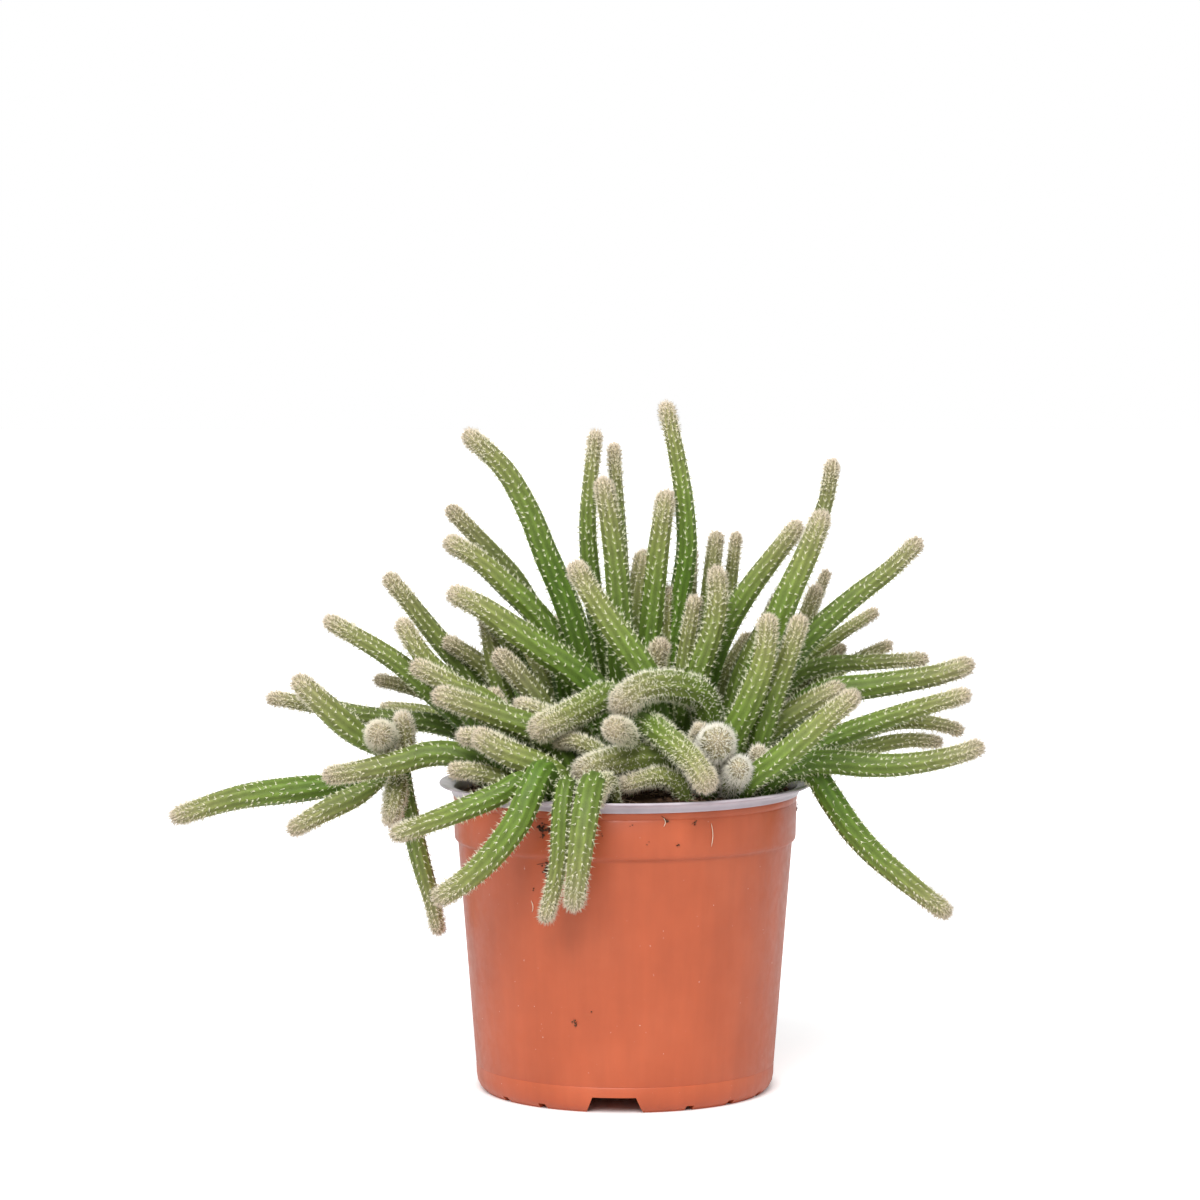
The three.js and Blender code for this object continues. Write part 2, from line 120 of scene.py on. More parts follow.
def add_floor():
    mesh = bpy.data.meshes.new("floor")
    reach = FLOOR_REACH
    corners = [(-reach, -reach, 0), (reach, -reach, 0), (reach, reach, 0), (-reach, reach, 0)]
    mesh.from_pydata(corners, [], [(0, 1, 2, 3)])
    floor = bpy.data.objects.new("floor", mesh)
    bpy.context.scene.collection.objects.link(floor)
    floor.data.materials.append(floor_material())


def add_studio():
    bpy.context.scene.view_settings.view_transform = "Standard"
    add_world()
    add_sun()
    add_floor()


# ---------------------------------------------------------------- materials

def new_material(name, roughness, **sockets):
    """A material with its Principled shader; uniform values go straight on the shader."""
    material = bpy.data.materials.new(name)
    material.use_nodes = True
    shader = material.node_tree.nodes["Principled BSDF"]
    shader.inputs["Roughness"].default_value = roughness
    for socket, value in sockets.items():
        shader.inputs[socket.replace("_", " ")].default_value = value
    return material, material.node_tree, shader


def add_node(tree, kind, **settings):
    node = tree.nodes.new(kind)
    for key, value in settings.items():
        if key in node.inputs:
            node.inputs[key].default_value = value
        else:
            setattr(node, key, value)
    return node


def noise_at(tree, scale, detail=3.0, roughness=0.55, stretch=(1, 1, 1)):
    place = tree.nodes.new("ShaderNodeTexCoord")
    mapping = tree.nodes.new("ShaderNodeMapping")
    mapping.inputs["Scale"].default_value = stretch
    texture = add_node(tree, "ShaderNodeTexNoise", Scale=scale, Detail=detail, Roughness=roughness)
    tree.links.new(place.outputs["Object"], mapping.inputs["Vector"])
    tree.links.new(mapping.outputs["Vector"], texture.inputs["Vector"])
    return texture.outputs["Fac"]


def ramp(tree, source, stops, interpolation="LINEAR"):
    node = tree.nodes.new("ShaderNodeValToRGB")
    node.color_ramp.interpolation = interpolation
    elements = node.color_ramp.elements
    while len(elements) < len(stops):
        elements.new(0.5)
    for element, (position, colour) in zip(elements, stops):
        element.position = position
        element.color = (*colour, 1) if len(colour) == 3 else colour
    tree.links.new(source, node.inputs["Fac"])
    return node.outputs["Color"]


def grey(value):
    return (value, value, value)


def mix(tree, factor, first, second, blend="MIX"):
    """Mixes two colours; each of the three may be a socket or a value."""
    node = tree.nodes.new("ShaderNodeMix")
    node.data_type = "RGBA"
    node.blend_type = blend
    for socket, value in ((node.inputs[0], factor), (node.inputs[6], first), (node.inputs[7], second)):
        if isinstance(value, bpy.types.NodeSocket):
            tree.links.new(value, socket)
        elif isinstance(value, (int, float)):
            socket.default_value = value
        else:
            socket.default_value = (*value, 1)
    return node.outputs[2]


def bump(tree, shader, height, strength, distance):
    node = add_node(tree, "ShaderNodeBump", Strength=strength, Distance=distance)
    tree.links.new(height, node.inputs["Height"])
    tree.links.new(node.outputs["Normal"], shader.inputs["Normal"])


def attribute(tree, name):
    node = add_node(tree, "ShaderNodeAttribute", attribute_name=name)
    return node.outputs["Fac"]


def floor_material():
    """A pale floor that glows for camera rays only, and not under the pot."""
    material, tree, shader = new_material("studio_floor", 0.9)
    shader.inputs["Base Color"].default_value = (0.93, 0.93, 0.93, 1)
    shader.inputs["Emission Color"].default_value = (1, 1, 1, 1)
    rays = tree.nodes.new("ShaderNodeLightPath")
    glow = add_node(tree, "ShaderNodeMath", operation="MULTIPLY")
    glow.inputs[1].default_value = FLOOR_GLOW
    tree.links.new(rays.outputs["Is Camera Ray"], glow.inputs[0])
    spot = tree.nodes.new("ShaderNodeNewGeometry")
    away = add_node(tree, "ShaderNodeVectorMath", operation="DISTANCE")
    tree.links.new(spot.outputs["Position"], away.inputs[0])
    away.inputs[1].default_value = tuple(AXIS)
    beyond = add_node(tree, "ShaderNodeMapRange", clamp=True)
    beyond.inputs["From Min"].default_value = GLOW_STARTS
    beyond.inputs["From Max"].default_value = GLOW_FULL
    tree.links.new(away.outputs["Value"], beyond.inputs["Value"])
    outside = add_node(tree, "ShaderNodeMath", operation="MULTIPLY")
    tree.links.new(glow.outputs["Value"], outside.inputs[0])
    tree.links.new(beyond.outputs["Result"], outside.inputs[1])
    tree.links.new(outside.outputs["Value"], shader.inputs["Emission Strength"])
    return material


def skin_material():
    """Fleshy green: darker between the ribs by painted shade, brighter on the rib crests by a painted
    highlight, tan and woolly towards the tip.
    """
    material, tree, shader = new_material(
        "stem_skin", 0.5, Specular_IOR_Level=0.22,
        Subsurface_Weight=0.12, Subsurface_Scale=0.002, Subsurface_Radius=(0.5, 1.0, 0.2))
    fresh = ramp(tree, attribute(tree, "from_tip"), [
        (0.0, (0.50, 0.43, 0.28)), (0.09, (0.39, 0.38, 0.17)), (0.24, (0.295, 0.33, 0.095)),
        (0.55, (0.20, 0.295, 0.05)), (1.0, (0.12, 0.225, 0.024))])
    olive = ramp(tree, attribute(tree, "from_tip"), [
        (0.0, (0.40, 0.33, 0.22)), (0.12, (0.29, 0.27, 0.13)), (0.35, (0.20, 0.225, 0.07)),
        (1.0, (0.095, 0.145, 0.024))])
    # The olive ramp is darker as well as browner: partly the stems' own colour, partly painted shade on
    # stems that stand behind the others.
    base = mix(tree, attribute(tree, "tone_and_shade"), fresh, olive)
    # Painted shade and highlight: the colour is darkened in the grooves between the ribs and brightened on
    # the rib crests.
    painted_rib_shading = ramp(tree, attribute(tree, "crest"), [(0.0, grey(0.66)), (0.55, grey(0.9)), (1.0, grey(1.08))])
    ribbed = mix(tree, 1.0, base, painted_rib_shading, "MULTIPLY")
    blotches = ramp(tree, noise_at(tree, 240), [(0.3, grey(0.84)), (0.7, grey(1.12))])
    mottled = mix(tree, 1.0, ribbed, blotches, "MULTIPLY")
    speckle = ramp(tree, noise_at(tree, 2600, 2.0), [(0.35, grey(0.88)), (0.65, grey(1.1))])
    tree.links.new(mix(tree, 1.0, mottled, speckle, "MULTIPLY"), shader.inputs["Base Color"])
    bump(tree, shader, noise_at(tree, 1900, 3.0), 0.35, 0.0003)
    return material


def bristle_material():
    """Cream wool and bristles, tan to pink where they crowd at the tip."""
    material, tree, shader = new_material("stem_bristle", 0.7, Specular_IOR_Level=0.3)
    colour = ramp(tree, attribute(tree, "from_tip"), [
        (0.0, (0.86, 0.74, 0.58)), (0.12, (0.92, 0.85, 0.64)), (0.3, (0.94, 0.92, 0.68)),
        (1.0, (0.88, 0.90, 0.60))])
    whiter = ramp(tree, attribute(tree, "wool"), [(0.3, grey(0.0)), (0.6, grey(0.35)), (1.0, grey(1.0))])
    colour = mix(tree, whiter, colour, (0.96, 0.92, 0.80))
    varied = ramp(tree, noise_at(tree, 900), [(0.3, grey(0.86)), (0.7, grey(1.06))])
    tree.links.new(mix(tree, 1.0, colour, varied, "MULTIPLY"), shader.inputs["Base Color"])
    return material


def terracotta_material():
    """Thin moulded polypropylene: satin, faint flow mottling, fine scuffs and pale dust specks."""
    material, tree, shader = new_material(
        "pot_terracotta", 0.4, Specular_IOR_Level=0.42, Coat_Weight=0.12, Coat_Roughness=0.35,
        Subsurface_Weight=0.06, Subsurface_Scale=0.003, Subsurface_Radius=(1.0, 0.35, 0.2))
    cloudy = ramp(tree, noise_at(tree, 28, 4.0), [
        (0.28, (0.44, 0.088, 0.031)), (0.5, (0.495, 0.101, 0.036)), (0.75, (0.55, 0.12, 0.046))])
    streaks = ramp(tree, noise_at(tree, 130, 3.0, stretch=(1, 1, 0.12)), [
        (0.35, grey(0.95)), (0.65, grey(1.05))])
    body = mix(tree, 1.0, cloudy, streaks, "MULTIPLY")
    dust_mask = ramp(tree, noise_at(tree, 900, 1.0, 0.3), [(0.79, grey(0.0)), (0.86, grey(0.5))])
    dusty = mix(tree, dust_mask, body, (0.78, 0.62, 0.54))
    tree.links.new(dusty, shader.inputs["Base Color"])
    rough = ramp(tree, noise_at(tree, 300, 4.0), [(0.3, grey(0.33)), (0.7, grey(0.5))])
    tree.links.new(rough, shader.inputs["Roughness"])
    bump(tree, shader, noise_at(tree, 1500, 2.0), 0.08, 0.0002)
    return material


def pot_inside_material():
    material, tree, shader = new_material("pot_inside", 0.27, Specular_IOR_Level=0.7)
    colour = ramp(tree, noise_at(tree, 90, 3.0), [(0.3, (0.52, 0.45, 0.50)), (0.7, (0.66, 0.58, 0.63))])
    tree.links.new(colour, shader.inputs["Base Color"])
    bump(tree, shader, noise_at(tree, 1200), 0.06, 0.0002)
    return material


def peat_material():
    material, tree, shader = new_material("peat", 0.95, Specular_IOR_Level=0.2)
    colour = ramp(tree, noise_at(tree, 420, 5.0, 0.65), [
        (0.25, (0.025, 0.013, 0.008)), (0.5, (0.095, 0.052, 0.030)), (0.72, (0.21, 0.125, 0.078)),
        (0.9, (0.36, 0.25, 0.17))])
    tree.links.new(colour, shader.inputs["Base Color"])
    bump(tree, shader, noise_at(tree, 800, 6.0, 0.7), 0.8, 0.0012)
    return material


def fibre_material():
    material, tree, shader = new_material("peat_fibre", 0.85)
    colour = ramp(tree, noise_at(tree, 160), [
        (0.3, (0.17, 0.095, 0.055)), (0.55, (0.38, 0.25, 0.16)), (0.8, (0.60, 0.46, 0.33))])
    tree.links.new(colour, shader.inputs["Base Color"])
    return material


# ---------------------------------------------------------------- pieces

def add_piece(name, mesh, materials, smooth=True):
    piece = bpy.data.objects.new(name, mesh)
    bpy.context.scene.collection.objects.link(piece)
    for material in materials:
        mesh.materials.append(material)
    if smooth:
        mesh.polygons.foreach_set("use_smooth", [True] * len(mesh.polygons))
    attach(piece, BODY)
    return piece


def spread_attribute(mesh, name, values):
    layer = mesh.attributes.new(name, "FLOAT", "POINT")
    layer.data.foreach_set("value", np.asarray(values, dtype=np.float32))


# ---------------------------------------------------------------- stems: middle lines

def rings_of(node):
    """A CAD stem's middle line and radii from root to tip. Its two ends are the only corners where
    as many edges meet as a ring has sides, and each ring is one step further from the tip."""
    mesh = NODES[node].data
    corners = {}
    ids = []
    for vertex in mesh.vertices:
        key = tuple(round(c, 6) for c in vertex.co)
        ids.append(corners.setdefault(key, len(corners)))
    places = np.array(list(corners))
    links = [set() for _ in places]
    for edge in mesh.edges:
        a, b = (ids[v] for v in edge.vertices)
        if a != b:
            links[a].add(b)
            links[b].add(a)
    poles = sorted(range(len(places)), key=lambda c: -len(links[c]))[:2]
    lift = [np.linalg.norm(places[p] - places[list(links[p])].mean(axis=0)) for p in poles]
    layer = [poles[int(np.argmax(lift))]]
    seen = set(layer)
    line, radii = [places[layer[0]]], [0.0]
    while True:
        layer = sorted({n for c in layer for n in links[c]} - seen)
        if not layer:
            break
        seen.update(layer)
        ring = places[layer]
        line.append(ring.mean(axis=0))
        radii.append(float(np.linalg.norm(ring - line[-1], axis=1).mean()))
    return np.array(line[-2::-1]), np.array(radii[-2::-1])


def catmull(points, shares):
    """Points on a smooth curve through the given points, at shares of its count of stretches."""
    padded = np.vstack([2 * points[0] - points[1], points, 2 * points[-1] - points[-2]])
    place = np.clip(shares * (len(points) - 1), 0, len(points) - 1 - 1e-9)
    cell = place.astype(int)
    t = (place - cell)[:, None]
    p0, p1, p2, p3 = (padded[cell + k] for k in range(4))
    return 0.5 * (2 * p1 + (p2 - p0) * t + (2 * p0 - 5 * p1 + 4 * p2 - p3) * t ** 2
                  + (3 * p1 - p0 - 3 * p2 + p3) * t ** 3)


RING_STEP = 1.9 * MM
TIP_INSET = 2.2 * MM
ROOT_REACH = 2.6 * MM
SKIN_SHARE = 0.93
LINE_SAMPLES = 400
BLUNTNESS = 0.85
DOME_RINGS = 7


def even_line(line, radii):
    """The middle line in even steps, its root run on a little, with the tip's dome made round."""
    start = line[0] - (line[1] - line[0]) / np.linalg.norm(line[1] - line[0]) * ROOT_REACH
    line = np.vstack([start, line])
    radii = np.concatenate([[radii[0]], radii])
    shares = np.linspace(0, 1, LINE_SAMPLES)
    fine = catmull(line, shares)
    fine_radii = np.interp(shares, np.linspace(0, 1, len(radii)), radii)
    gaps = np.linalg.norm(np.diff(fine, axis=0), axis=1)
    run = np.concatenate([[0], np.cumsum(gaps)])
    length = run[-1] - TIP_INSET
    blunt = BLUNTNESS * max(radii)
    body = np.arange(0, length - blunt, RING_STEP)
    dome = length - blunt * (1 - np.sin(np.linspace(0.05, math.pi / 2 * 0.97, DOME_RINGS)))
    stations = np.concatenate([body, dome])
    places = np.stack([np.interp(stations, run, fine[:, k]) for k in range(3)], axis=1)
    girths = np.interp(np.minimum(stations, length - blunt), run, fine_radii) * SKIN_SHARE
    into = np.clip((stations - (length - blunt)) / blunt, 0, 1)
    girths = girths * np.sqrt(np.maximum(1 - into ** 2, 0))
    end = np.array([np.interp(length, run, fine[:, k]) for k in range(3)])
    return stations, places, girths, end, length


def carried_frames(places):
    """Two directions square to the line at each place, carried along it without twist."""
    along = np.gradient(places, axis=0)
    along /= np.linalg.norm(along, axis=1)[:, None]
    side = np.cross(along[0], (0.3, 0.2, 1.0))
    sides = []
    for heading in along:
        side = side - heading * side.dot(heading)
        side = side / np.linalg.norm(side)
        sides.append(side)
    sides = np.array(sides)
    return along, sides, np.cross(along, sides)


# ---------------------------------------------------------------- stems: skin and bristles

RIBS = 9
RIB_SEGMENTS = 4
RIB_DEPTH = 0.1
BRISTLE_RADIUS = 0.12 * MM
TUFT = 4
TIP_BRISTLES = 600
TIP_WOOL_REACH = 15 * MM


def stem_skin(stations, places, girths, end, length, twist):
    """The ribbed skin's corners, faces and how near each corner is to a rib's crest."""
    along, sides, others = carried_frames(places)
    around = RIBS * RIB_SEGMENTS
    turn = np.arange(around) * 2 * math.pi / around
    crest = 1 - np.abs(np.sin(turn * RIBS / 2))
    profile = 1 - RIB_DEPTH * (1 - crest)
    angles = turn[None, :] + (twist * stations / length)[:, None]
    spokes = sides[:, None, :] * np.cos(angles)[..., None] + others[:, None, :] * np.sin(angles)[..., None]
    corners = places[:, None, :] + spokes * (girths[:, None] * profile[None, :])[..., None]
    corners = np.vstack([corners.reshape(-1, 3), places[0], end])
    ring_count = len(stations)
    ring, step = np.meshgrid(np.arange(ring_count - 1), np.arange(around), indexing="ij")
    here = ring * around + step
    beside = ring * around + (step + 1) % around
    quads = np.stack([here, beside, beside + around, here + around], axis=-1).reshape(-1, 4)
    k = np.arange(around)
    root, tip = ring_count * around, ring_count * around + 1
    last = (ring_count - 1) * around
    root_faces = np.stack([np.full(around, root), (k + 1) % around, k], axis=1)
    tip_faces = np.stack([np.full(around, tip), last + k, last + (k + 1) % around], axis=1)
    crests = np.concatenate([np.tile(crest, ring_count), [0.5, 0.5]])
    from_tip = np.concatenate([np.repeat(length - stations, around), [length, 0]])
    return corners, quads.tolist() + root_faces.tolist() + tip_faces.tolist(), crests, from_tip


def areole_spots(length, rng):
    """(run, turn in ribs) for each tuft: staggered rows along the crests, closing up at the tip."""
    spots = []
    for rib in range(RIBS):
        run = 2.5 * MM + (rib % 2) * 1.2 * MM + rng.uniform(0, 0.7) * MM
        while run < length - 0.6 * MM:
            spots.append((run, rib + rng.normal() * 0.16))
            left = length - run
            run += (1.15 + 1.2 * min(left / (18 * MM), 1)) * MM * rng.uniform(0.7, 1.3)
    return np.array(spots)


def directions(normal, heading, rng, spread, lean):
    """Unit directions scattered about the normals, leaning towards the tip."""
    scatter = rng.normal(size=normal.shape)
    scatter /= np.linalg.norm(scatter, axis=1)[:, None]
    out = normal + heading * lean + scatter * spread
    return out / np.linalg.norm(out, axis=1)[:, None]


def spikes(feet, heading, lengths, radius):
    """Three-sided bristles as corners and faces."""
    helper = np.where(np.abs(heading[:, 2:3]) < 0.8, (0.0, 0.0, 1.0), (1.0, 0.0, 0.0))
    first = np.cross(heading, helper)
    first /= np.linalg.norm(first, axis=1)[:, None]
    second = np.cross(heading, first)
    rings = []
    for k in range(3):
        angle = k * 2 * math.pi / 3
        rings.append(feet + (first * math.cos(angle) + second * math.sin(angle)) * radius)
    rings.append(feet + heading * lengths[:, None])
    corners = np.stack(rings, axis=1).reshape(-1, 3)
    base = np.arange(len(feet))[:, None, None] * 4
    faces = base + np.array([[0, 1, 3], [1, 2, 3], [2, 0, 3]])[None]
    return corners, faces.reshape(-1, 3)


def cushions(feet, normal, heading, radius, rng):
    """The low woolly cushion under each tuft: a four-sided dome, drawn out along the stem."""
    askew = np.cross(normal, heading) * rng.normal(0, 0.35, len(feet))[:, None]
    along = heading + askew
    along /= np.linalg.norm(along, axis=1)[:, None]
    across = np.cross(normal, along)
    stretch = rng.uniform(1.2, 2.3, len(feet))[:, None]
    rings = []
    for forward, sideways in ((1, 0), (0, 1), (-1, 0), (0, -1)):
        reach = along * forward * stretch + across * sideways
        rings.append(feet + reach * radius[:, None] - normal * 0.07 * MM)
    rings.append(feet + normal * (radius * 0.8)[:, None])
    corners = np.stack(rings, axis=1).reshape(-1, 3)
    base = np.arange(len(feet))[:, None, None] * 5
    faces = base + np.array([[k, (k + 1) % 4, 4] for k in range(4)])[None]
    return corners, faces.reshape(-1, 3)


class StemSurface:
    """Finds places on a stem's skin from a run along it and a turn about it."""

    def __init__(self, stations, places, girths):
        self.stations, self.places, self.girths = stations, places, girths
        self.along, self.sides, self.others = carried_frames(places)
        self.slope = np.gradient(girths, stations)

    def at(self, runs, values):
        return np.stack([np.interp(runs, self.stations, values[:, k]) for k in range(3)], axis=1)

    def spots(self, runs, angles, share):
        """Each spot's place at a share of the girth, the skin's outward direction and the heading."""
        cosines, sines = np.cos(angles)[:, None], np.sin(angles)[:, None]
        normal = self.at(runs, self.sides) * cosines + self.at(runs, self.others) * sines
        heading = self.at(runs, self.along)
        radius = np.interp(runs, self.stations, self.girths)
        tilt = np.clip(-np.interp(runs, self.stations, self.slope), -0.3, 4)
        outward = normal + heading * tilt[:, None]
        outward /= np.linalg.norm(outward, axis=1)[:, None]
        return self.at(runs, self.places) + normal * (radius * share)[:, None], outward, heading


def stem_hair(surface, length, twist, density, wool, rng):
    """All wool and bristles of one stem: corners, faces and each corner's run from the tip."""
    areoles = areole_spots(length, rng)
    runs = areoles[:, 0]
    angles = areoles[:, 1] * 2 * math.pi / RIBS + twist * runs / length
    feet, normal, heading = surface.spots(runs, angles, 0.985)
    parts = [cushions(feet, normal, heading, rng.uniform(0.16, 0.28, len(feet)) * MM, rng)]
    marks = [np.repeat(length - runs, 5)]
    many = np.repeat(np.arange(len(feet)), max(int(round(TUFT * density)), 2))
    aim = directions(normal[many], heading[many], rng, 0.8, 0.55)
    reach = rng.uniform(0.9, 2.2, len(many)) * MM
    parts.append(spikes(feet[many], aim, reach, BRISTLE_RADIUS))
    marks.append(np.repeat((length - runs)[many], 4))

    crowd = int(TIP_BRISTLES * density * (0.6 + wool))
    runs = length - np.abs(rng.triangular(0, 0.0, TIP_WOOL_REACH * (1 + wool), crowd))
    fleece = int(length / MM * 26 * wool)
    runs = np.concatenate([runs, rng.uniform(0.1 * length, length, fleece)])
    angles = rng.uniform(0, 2 * math.pi, len(runs))
    feet, normal, heading = surface.spots(runs, angles, 0.97)
    aim = directions(normal, heading, rng, 0.55, 0.45)
    reach = rng.uniform(0.9, 1.9 + 0.9 * wool, len(runs)) * MM
    parts.append(spikes(feet, aim, reach, BRISTLE_RADIUS))
    marks.append(np.repeat(length - runs, 4))

    corners, faces, shift = [], [], 0
    for part_corners, part_faces in parts:
        corners.append(part_corners)
        faces += (part_faces + shift).tolist()
        shift += len(part_corners)
    return np.vstack(corners), faces, np.concatenate(marks)


TIP_REACH = 60 * MM


def make_stem(name, line, radii, tone_and_shade, density, wool, seed):
    """One stem as a piece: ribbed skin with its wool and bristles."""
    rng = np.random.RandomState(seed)
    twist = rng.uniform(-0.6, 0.6)
    stations, places, girths, end, length = even_line(line, radii)
    corners, faces, crests, from_tip = stem_skin(stations, places, girths, end, length, twist)
    surface = StemSurface(stations, places, girths)
    hair_corners, hair_faces, marks = stem_hair(surface, length, twist, density, wool, rng)
    shift = len(corners)
    all_corners = np.vstack([corners, hair_corners])
    all_faces = faces + [[c + shift for c in face] for face in hair_faces]
    mesh = bpy.data.meshes.new(name)
    mesh.from_pydata(all_corners.tolist(), [], all_faces)
    piece = add_piece(name, mesh, [SKIN, BRISTLE])
    slots = np.zeros(len(mesh.polygons), dtype=np.int32)
    slots[len(faces):] = 1
    mesh.polygons.foreach_set("material_index", slots)
    run = np.concatenate([from_tip, marks])
    spread_attribute(mesh, "from_tip", np.clip(run / TIP_REACH, 0, 1))
    spread_attribute(mesh, "crest", np.concatenate([crests, np.ones(len(hair_corners))]))
    spread_attribute(mesh, "tone_and_shade", np.full(len(all_corners), tone_and_shade))
    spread_attribute(mesh, "wool", np.full(len(all_corners), wool))
    return piece


# Small stems that show between the main ones: (greatest radius, middle line from root to tip), in
# millimetres from the pot's axis, as the CAD's own stems are placed.
SMALL_STEMS = {
    "small_left_1": (3.8, [(-76, -6, 116), (-76, -11, 125), (-77, -15, 134)]),
    "small_left_2": (3.2, [(-44, 28, 110), (-60, 24, 130), (-74, 22, 137), (-90, 20, 141)]),
    "small_shoulder_1": (3.8, [(-30, 20, 104), (-42, 18, 134), (-50, 16, 146), (-65, 15, 156)]),
    "small_shoulder_2": (2.8, [(-36, -6, 118), (-43, -12, 134), (-47, -14, 142)]),
    "small_shoulder_3": (3.8, [(-26, -32, 104), (-34, -34, 117), (-46, -37, 125), (-59, -38, 127)]),
    "small_shoulder_4": (3.8, [(-4, -16, 110), (-14, -22, 124), (-26, -24, 132), (-40, -24, 137)]),
    "small_front_1": (3.3, [(-3, -46, 103), (-6, -54, 113), (-9, -62, 111), (-11, -67, 104)]),
    "small_centre_1": (3.2, [(2, -34, 104), (-6, -36, 118), (-18, -36, 125), (-26, -36, 123)]),
    "small_centre_2": (4.9, [(35, -34, 106), (37, -46, 115), (38, -61, 119)]),
    "small_centre_3": (3.0, [(22, -20, 110), (24, -32, 124), (26, -42, 131)]),
    "small_centre_4": (3.5, [(44, -24, 104), (45, -32, 116), (45, -38, 124)]),
    "small_crown_1": (4.2, [(-10, 34, 104), (-22, 35, 140), (-36, 35, 170), (-48, 35, 185), (-64, 35, 202)]),
    "small_crown_2": (3.0, [(-20, 8, 110), (-38, 6, 150), (-50, 4, 166), (-60, 3, 173)]),
    "small_crown_3": (3.0, [(16, 40, 104), (22, 40, 150), (24, 40, 187)]),
    "small_crown_4": (3.6, [(22, 30, 104), (28, 30, 150), (31, 30, 180), (33, 30, 194)]),
    "small_crown_5": (2.9, [(28, 38, 104), (36, 40, 160), (40, 40, 193)]),
    "small_crown_6": (3.4, [(16, 2, 110), (21, 5, 150), (25, 6, 173)]),
    "small_crown_7": (4.1, [(12, -6, 110), (10, -12, 146), (14, -16, 159)]),
    "small_right_1": (3.5, [(40, 34, 104), (56, 38, 140), (65, 40, 162), (69, 40, 174)]),
    "small_right_2": (2.6, [(46, 40, 104), (62, 44, 150), (73, 45, 179)]),
    "small_right_3": (2.9, [(44, 26, 104), (58, 30, 140), (74, 30, 154), (91, 30, 165)]),
    "small_right_4": (2.9, [(48, 36, 104), (62, 40, 136), (80, 40, 152)]),
    "small_right_5": (2.9, [(50, 30, 104), (66, 38, 134), (82, 40, 145), (97, 40, 152)]),
    "small_right_6": (3.0, [(60, 18, 110), (90, 20, 124), (108, 20, 125), (121, 20, 121)]),
    "small_right_7": (3.3, [(50, 12, 104), (62, 10, 114), (82, 10, 117), (98, 10, 120), (113, 10, 119)]),
    "small_right_8": (4.9, [(38, -12, 104), (46, -11, 122), (58, -11, 132), (77, -12, 142)]),
    "small_back_1": (3.6, [(-14, 30, 104), (-24, 42, 136), (-34, 54, 150)]),
    "small_back_2": (3.8, [(10, 34, 104), (16, 50, 140), (24, 66, 160)]),
    "small_back_3": (3.6, [(34, 24, 104), (50, 36, 130), (66, 48, 146)]),
    "small_back_4": (3.6, [(-34, 34, 104), (-48, 46, 130), (-62, 58, 140)]),
    "filler_1": (4.6, [(-14, 20, 104), (-24, 24, 128), (-33, 26, 146), (-42, 26, 158)]),
    "filler_2": (4.6, [(26, 18, 104), (32, 22, 128), (38, 24, 144), (46, 24, 158)]),
    "filler_3": (4.4, [(-24, 20, 104), (-36, 24, 122), (-50, 26, 136)]),
    "filler_4": (4.4, [(0, 18, 104), (-10, 22, 130), (-16, 24, 152)]),
    "filler_5": (4.4, [(20, 12, 104), (24, 16, 130), (26, 18, 152)]),
    "filler_6": (4.4, [(36, 4, 104), (48, 10, 122), (62, 16, 134)]),
    "filler_7": (4.6, [(10, 14, 104), (6, 17, 140), (4, 18, 165), (7, 18, 188)]),
    "filler_9": (4.6, [(30, 6, 104), (40, 10, 140), (50, 12, 160), (58, 14, 176)]),
    "filler_10": (4.2, [(12, 16, 104), (13, 19, 140), (14, 20, 176)]),
    "filler_11": (4.0, [(-14, 22, 104), (-22, 25, 140), (-24, 26, 164)]),
    "filler_8": (4.2, [(44, 14, 104), (58, 22, 122), (74, 26, 136)]),
}

# How far a stem's colour leans from fresh green (0) to a darker olive brown (1): partly the stems' own
# olive-brown colour, partly painted shade on stems that stand behind the others.
TONES_AND_SHADE = {
    "stem_shoulder_6": 0.95, "stem_crown_1": 0.25, "stem_crown_8": 0.6, "stem_right_3": 0.7,
    "stem_shoulder_2": 0.6, "stem_left_5": 0.75, "small_crown_1": 0.8, "small_crown_7": 1.0,
    "small_right_1": 0.7, "small_right_2": 0.8, "small_crown_3": 0.7, "small_crown_4": 0.5,
    "small_crown_5": 0.6, "small_left_2": 0.85, "stem_left_9": 0.6, "stem_left_1": 0.6,
}


# How densely a part of the clump is set with bristles, against the rest.
DENSITIES = {"back": 0.6, "crown": 1.25}

# How woolly a stem is all over, from 0 to 1; the rest are woolly at the tip only.
WOOL = {
    "stem_centre_1": 0.45, "stem_centre_2": 0.6, "stem_centre_3": 0.65, "stem_centre_4": 0.5,
    "stem_centre_5": 0.4, "stem_centre_6": 1.0, "small_centre_1": 0.4, "small_centre_2": 1.0,
    "small_centre_4": 0.7, "stem_left_6": 0.6, "small_left_1": 0.6, "stem_left_8": 0.5,
    "small_shoulder_3": 0.4, "small_shoulder_4": 0.4, "stem_front_5": 0.4, "small_crown_7": 0.3,
    "small_centre_3": 0.5, "small_front_1": 0.3,
}


def swelling(shares):
    """A small stem's radius along its length: narrow root, widest short of halfway, tapered tip."""
    lower = np.clip(shares / 0.42, 0, 1)
    upper = np.clip((shares - 0.42) / 0.58, 0, 1)
    return 0.5 + 0.5 * np.sin(lower * math.pi / 2) - 0.34 * upper ** 1.5


SMALL_STEM_POINTS = 10
SMALL_STEM_DENSITY = 0.7


